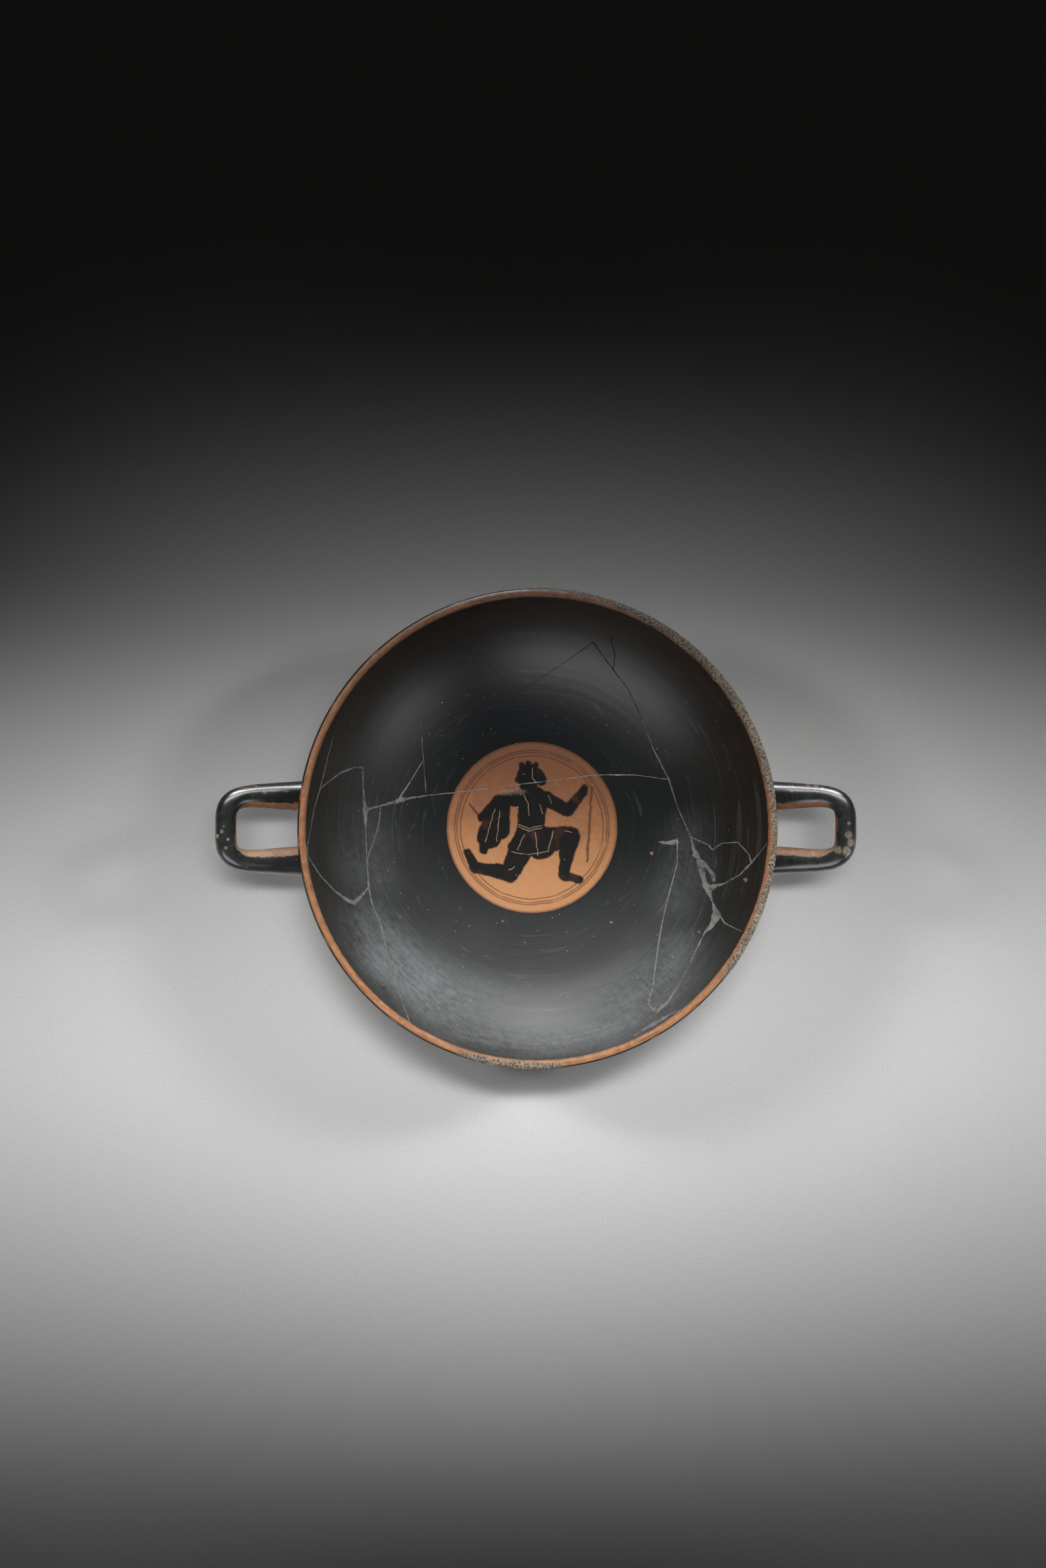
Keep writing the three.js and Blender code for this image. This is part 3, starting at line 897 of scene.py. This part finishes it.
mends = {
    "sway": 0.26,
    "step": 0.75,
    "edge": 0.055,
    "seed": 3,
    "grey": ((0.33, 0.327, 0.312), (0.155, 0.156, 0.152)),
    "dark": ((0.055, 0.055, 0.052), (0.008, 0.008, 0.008)),
    "narrow": 0.8,  # scales all the half widths below
    # x and y in millimetres from the axis, and half the width there
    "filled": [
        [(-72, 7.5, 1.5), (-69, 8.3, 0.5), (-64, 9.6, 0.45), (-58, 11.2, 1.0), (-55.5, 12, 1.1),
         (-51, 12.8, 0.5), (-44, 13.8, 0.36), (-32, 15, 0.26), (-13.5, 17.5, 0.2), (12.5, 20.5, 0.24),
         (26.5, 22.5, 0.32), (43.5, 22.5, 0.25), (58, 20.5, 0.2)],
        [(46.5, 46, 0.16), (51.5, 33, 0.22), (58, 20.5, 0.36), (61.5, 9, 0.26), (67, -4, 0.22), (68, -9, 0.7),
         (70, -13, 1.3), (72.5, -24, 1.8), (74.5, -29, 0.7), (75.6, -33, 0.8), (76.5, -36.5, 1.9)],
        [(76.5, -36.5, 1.9), (74.5, -41, 1.3), (72, -43.5, 0.6), (68, -51, 0.26), (61.5, -63.5, 0.24),
         (57, -70, 0.36), (54.5, -73.5, 0.6), (49.5, -76.5, 1.3)],
        [(76.5, -34.5, 0.8), (79.5, -40, 0.3), (85.5, -43, 0.2)],
        [(54, -6.2, 0.3), (57, -6.6, 0.8), (60, -6.4, 1.6), (61.8, -5.6, 1.2)],
        [(61.5, -5.5, 0.6), (61.5, -15, 0.22), (58.5, -26, 0.28), (56, -35, 0.26), (53.5, -46, 0.36),
         (51.5, -57, 0.3), (50, -65.5, 0.4), (47.3, -73.5, 0.5), (48.4, -75.5, 0.5), (50.5, -77, 0.6)],
        [(-72.5, 25.5, 0.6), (-72.4, 18, 0.32), (-72, 12, 0.7), (-71.4, 7.5, 1.5), (-71.3, 0, 0.24),
         (-71, -7.5, 0.3), (-70.6, -14, 0.5), (-70, -25, 0.5), (-69, -31, 0.3), (-65, -40.5, 0.34),
         (-62, -53, 0.55), (-58.5, -65.5, 0.3), (-56, -73, 0.36), (-53, -81, 0.24)],
        [(-85, 38.5, 0.14), (-90.5, 16.5, 0.3), (-93, 8, 0.18), (-95, -3.5, 0.16), (-96, -10.5, 0.3)],
        [(-90.5, 16.5, 0.3), (-87, 19.5, 0.4), (-81.5, 23.5, 0.3), (-76, 25.6, 0.5), (-72.5, 25.5, 0.6)],
        [(-96, -10.5, 0.3), (-90.5, -19.5, 0.3), (-84, -26.5, 0.4), (-78.5, -30.6, 0.9), (-76, -31.4, 1.5),
         (-73, -28.5, 1.0), (-70, -25, 0.5)],
        [(-47.5, 38.5, 0.2), (-46.5, 27.5, 0.16), (-45.5, 14.5, 0.2)],
        [(-58, 11, 0.4), (-54, 17, 0.4), (-50.5, 22.5, 0.32), (-47, 28.5, 0.24)],
        [(-65, 9, 0.3), (-65.4, 4, 0.2), (-66.4, -1.5, 0.55), (-68.5, -7, 0.18), (-70.8, -13, 0.5)],
        [(67, -4, 0.3), (74.5, -7.5, 0.3), (75.4, -9.4, 0.3), (79.5, -6.4, 0.26), (85.5, -6, 0.3),
         (89.5, -11, 0.36), (90.3, -14.6, 0.5), (86, -19.5, 0.26), (80, -23.5, 0.34), (76, -24.6, 1.1),
         (73.4, -26.6, 1.5)],
        [(68, -11, 0.9), (72.4, -15.4, 0.9), (75.4, -19.4, 0.8), (76, -22.6, 1.2)],
        [(90.3, -14.6, 0.5), (93.5, -10, 0.2), (96, -6, 0.14)],
        [(40.5, -86.5, 0.7), (45, -83.6, 0.5), (49.5, -81, 0.9), (55.5, -77.5, 0.4), (60, -75.5, 0.3)]],
    "open": [
        [(24.5, 78.5, 0.3), (33.5, 67, 0.2), (40, 59, 0.16), (46.5, 46, 0.16)],
        [(31.5, 80.5, 0.5), (34, 73, 0.2), (33.5, 67, 0.3)],
        [(-47, 28.5, 0.12), (-30.5, 40.5, 0.08), (-12, 53.5, 0.08), (15, 71.5, 0.1), (24.5, 78.5, 0.24)],
        [(-32, 77, 0.12), (-23.5, 73.5, 0.1), (-12.5, 62.5, 0.08)]],
}


def mendTree():
    # each line is laid over the bowl from straight above, as a flat lens pressed into the surface
    sheet, entry = newShapeTree("pressedAlongBreaks", {
        "Bowl": "Object", "Step": "Float", "Sway": "Float", "Edge": "Float", "Seed": "Float"})
    above, fall = 0.2, 0.3  # metres
    line = sheet.put("GeometryNodeResampleCurve", {"mode": "LENGTH"}, entry("Geometry"), Length=entry("Step"))
    here = sheet.put("GeometryNodeInputPosition")
    seeded = {"noise_dimensions": "4D"}
    wide = sheet.put("ShaderNodeTexNoise", seeded, here, entry("Seed"), Scale=330, Detail=2)
    girth = sheet.put("GeometryNodeInputRadius") * (wide * 2.4 - 0.2).sum("MAXIMUM", 0.35) * mm
    ring = sheet.put("GeometryNodeCurvePrimitiveCircle", None, 10, Radius=1)
    upright = sheet.put("GeometryNodeSetCurveNormal", {"mode": "Z_UP"}, line)
    tube = sheet.put("GeometryNodeCurveToMesh", None, upright, ring, girth, True)
    ragged = sheet.put("ShaderNodeTexNoise", seeded, here, entry("Seed"), Scale=800, Detail=2).also("Color")
    place = sheet.split(sheet.vectorSum("ADD", here, sheet.shaken(ragged, entry("Sway") * 2)))
    over = sheet.joined(place, place.also("Y"), above)
    drop = sheet.put("GeometryNodeRaycast", None, Target_Geometry=sheet.shapeOf(entry("Bowl")),
                     Source_Position=over, Ray_Direction=(0, 0, -1), Ray_Length=fall)
    lift = (sheet.split(here).also("Z") * 0.4).sum("MINIMUM", entry("Edge"))
    lift = lift.sum("MAXIMUM", entry("Edge") * -1) + entry("Edge") * 0.35
    raised = sheet.vectorSum("SCALE", drop.also("Hit Normal"), lift)
    laid = sheet.vectorSum("ADD", drop.also("Hit Position"), raised)
    pressed = sheet.put("GeometryNodeSetPosition", None, tube, Position=laid)
    return endTree(sheet, entry, pressed)


def mendFinish(name, tones, roughness):
    # two tones mixed, with gaps where the gloss shows
    pale, dark = tones
    material, sheet, shader = newFinish(name, roughness, 0.3)
    place = sheet.objectPlace()
    grain = sheet.noise(place, 1400, 4, 0.7)
    patch = sheet.noise(place, 90, 3, 0.6)
    gap = sheet.noise(place, 380, 3, 0.65)
    tone = sheet.mixed(sheet.step(grain * 0.5 + patch * 0.5, 0.36, 0.64), dark, pale)
    tone = sheet.mixed(sheet.step(gap, 0.5, 0.36) * 0.55, tone, finish["gloss"])
    sheet.feedAll(shader, {"Base Color": tone, "Normal": sheet.bump(0.5, 0.0003, grain)})
    return material


def makeMends(body, tree, name, lines, material):
    flat = [[(x, y, 0, half * mends["narrow"]) for x, y, half in line] for line in lines]
    mend = shapedBy(polylines(name + "Lines", flat), tree, {
        "Bowl": body, "Step": mends["step"] * mm, "Sway": mends["sway"] * mm, "Edge": mends["edge"] * mm,
        "Seed": float(mends["seed"]), "Finish": material}, name)
    smoothFaces(mend)
    settle(mend)
    return mend


# lime crust on the lip

crustGrains = {
    "perSquare": 6.5,
    "size": (0.17, 0.36),
    "seed": 5,
    "least": 0.3,
}


def crustTree():
    sheet, entry = newShapeTree("limeGrains", {
        "Cup": "Object", "Density": "Float", "Small": "Float", "Large": "Float", "Least": "Float",
        "Seed": "Int"})
    seed = entry("Seed")
    share = sheet.put("GeometryNodeInputNamedAttribute", None, "crust")
    enough = sheet.put("FunctionNodeCompare", {"operation": "GREATER_THAN"}, share, entry("Least"))
    points = sheet.put("GeometryNodeDistributePointsOnFaces", None, sheet.shapeOf(entry("Cup")), enough,
                       entry("Density") * share * share, Seed=seed)
    grain = sheet.put("GeometryNodeMeshIcoSphere", None, 1, 1)
    turn = sheet.put("FunctionNodeRandomValue", {"data_type": "FLOAT_VECTOR"}, (0, 0, 0), (6.28, 6.28, 6.28),
                     Seed=seed + 1)
    size = sheet.put("FunctionNodeRandomValue", None, entry("Small"), entry("Large"), Seed=seed + 2)
    grains = sheet.put("GeometryNodeInstanceOnPoints", None, points,
                       Instance=grain, Rotation=turn, Scale=size)
    return endTree(sheet, entry, grains)


def crustFinish():
    material, sheet, shader = newFinish("limeCrust", 0.9, 0.2)
    place = sheet.objectPlace()
    grain = sheet.noise(place, 900, 3, 0.7)
    patch = sheet.noise(place, 120, 2, 0.5)
    pale = sheet.mixed(sheet.step(patch, 0.35, 0.65), finish["crustPale"], finish["crustDull"])
    tone = sheet.mixed(sheet.step(grain, 0.3, 0.6), finish["crustDeep"], pale)
    sheet.feedAll(shader, {"Base Color": tone})
    return material


def makeCrust(body, material):
    source = newObject("grainSource", bpy.data.meshes.new("grainSource"))
    small, large = crustGrains["size"]
    grains = shapedBy(source, crustTree(), {
        "Cup": body, "Density": crustGrains["perSquare"] / mm ** 2, "Small": small * mm, "Large": large * mm,
        "Least": crustGrains["least"], "Seed": crustGrains["seed"], "Finish": material}, "limeCrust")
    settle(grains)
    return grains


# assembly

def settle(piece):
    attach(piece, "root")


def smoothFaces(piece):
    faces = piece.data.polygons
    faces.foreach_set("use_smooth", np.ones(len(faces), bool))


def dressBody(body, blackGloss):
    # the faces of the bowl's floor take the painted finish, and all others the plain one
    body.data.materials.clear()
    body.data.materials.append(blackGloss)
    body.data.materials.append(glossedClay("paintedRoundel", paintRoundel))
    middles = readVectors(body.data.polygons, "center") / mm
    onRoundel = np.hypot(middles[:, 0], middles[:, 1]) < roundel["radius"] + 1
    onRoundel &= middles[:, 2] > cup["floor"] - 2
    body.data.polygons.foreach_set("material_index", onRoundel.astype(np.int32))
    smoothFaces(body)
    body.data.update()
    settle(body)
    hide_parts("kylix")


blackGloss = glossedClay("blackGlossOverClay")
body, section = makeCup(blackGloss)
print("cup turned and handles joined:", len(body.data.polygons), "faces")
wearDown(body, section)
dressBody(body, blackGloss)
pressed = mendTree()
filled = makeMends(body, pressed, "mendFills", mends["filled"], mendFinish("greyFilling", mends["grey"], 0.7))
opened = makeMends(body, pressed, "openBreaks", mends["open"], mendFinish("openBreak", mends["dark"], 0.8))
print("mends laid:", len(filled.data.polygons) + len(opened.data.polygons), "faces")
grains = makeCrust(body, crustFinish())
print("crust scattered:", len(grains.data.polygons), "faces")


# studio

studio = {
    "floorSize": 6,
    "paper": ((0.74, 0.74, 0.735), (0.80, 0.80, 0.795)),
    "air": (0.006, 0.006, 0.0056),
    "lens": 85,
    "longSide": 36,
    "stand": (-0.083, 0.018, 1.617),
    "aim": (-0.0062, 0.0186),
    # soft boxes, in metres and watts: place, width, height and power
    "cardAim": (0, 0, 0.06),
    "cards": {  # these show in the gloss alone
        "farCard": ((0, 1.02, 0.80), 1.7, 0.26, 15),
        "lowCard": ((0.05, 1.25, 0.27), 0.9, 0.2, 15),
        "coreCard": ((0.04, 1.25, 0.29), 0.22, 0.1, 2.2),
        "nearCard": ((-0.42, -1.1, 0.60), 1.4, 0.5, 7),
        "sideCard": ((0.95, -0.75, 0.50), 0.5, 0.4, 2.2)},
    "washes": {  # and these do not show in it: also where they aim, and their spread in degrees
        "floorWash": ((0, 0.08, 0.85), 1.5, 0.05, 0.54, (0, -0.095, 0), 26),
        "rightWing": ((0.68, 0.28, 0.84), 0.14, 0.30, 0.095, (-0.06, -0.095, 0), 23),
        "leftWing": ((-0.68, 0.28, 0.84), 0.14, 0.30, 0.095, (0.06, -0.095, 0), 23)},
}


def makeFloor():
    half = studio["floorSize"] / 2
    corners = [(-half, -half, 0), (half, -half, 0), (half, half, 0), (-half, half, 0)]
    mesh = bpy.data.meshes.new("floor")
    mesh.from_pydata(corners, [], [(0, 1, 2, 3)])
    floor = newObject("floor", mesh)
    material, sheet, shader = newFinish("palePaper", 0.9, 0)
    tone = sheet.step(sheet.noise(sheet.objectPlace(), 900, 3, 0.6), 0.2, 0.8)
    sheet.feedAll(shader, {"Base Color": sheet.mixed(tone, *studio["paper"])})
    mesh.materials.append(material)


def addCamera():
    camera = bpy.data.cameras.new("camera")
    camera.sensor_fit = "VERTICAL"
    camera.sensor_height = studio["longSide"]
    camera.lens = studio["lens"]
    camera.clip_end = 20
    view = newObject("camera", camera)
    stand = Vector(studio["stand"])
    aim = Vector((*studio["aim"], cup["height"] * mm))
    back = (stand - aim).normalized()
    right = Vector((0, 1, 0)).cross(back).normalized()
    up = back.cross(right)
    turn = Matrix((right, up, back)).transposed()
    view.matrix_world = Matrix.Translation(stand) @ turn.to_4x4()
    bpy.context.scene.camera = view


def addSoftbox(name, inGloss, place, wide, tall, power, aim=studio["cardAim"], spread=180):
    light = bpy.data.lights.new(name, "AREA")
    light.shape = "RECTANGLE"
    light.size, light.size_y = wide, tall
    light.energy = power
    light.spread = math.radians(spread)
    lamp = newObject(name, light)
    lamp.location = place
    lamp.rotation_euler = (Vector(place) - Vector(aim)).to_track_quat("Z", "Y").to_euler()
    lamp.visible_camera = False
    lamp.visible_diffuse = not inGloss
    lamp.visible_glossy = inGloss


def fillAir():
    world = bpy.data.worlds.new("studioAir")
    bpy.context.scene.world = world
    world.use_nodes = True
    air = NodeSheet(world.node_tree)
    air.put("ShaderNodeOutputWorld", None, air.put("ShaderNodeBackground", None, (*studio["air"], 1), 1))


makeFloor()
addCamera()
for kind, inGloss in (("cards", True), ("washes", False)):
    for name, values in studio[kind].items():
        addSoftbox(name, inGloss, *values)
fillAir()
bpy.context.scene.view_settings.view_transform = "Standard"
print("studio ready")
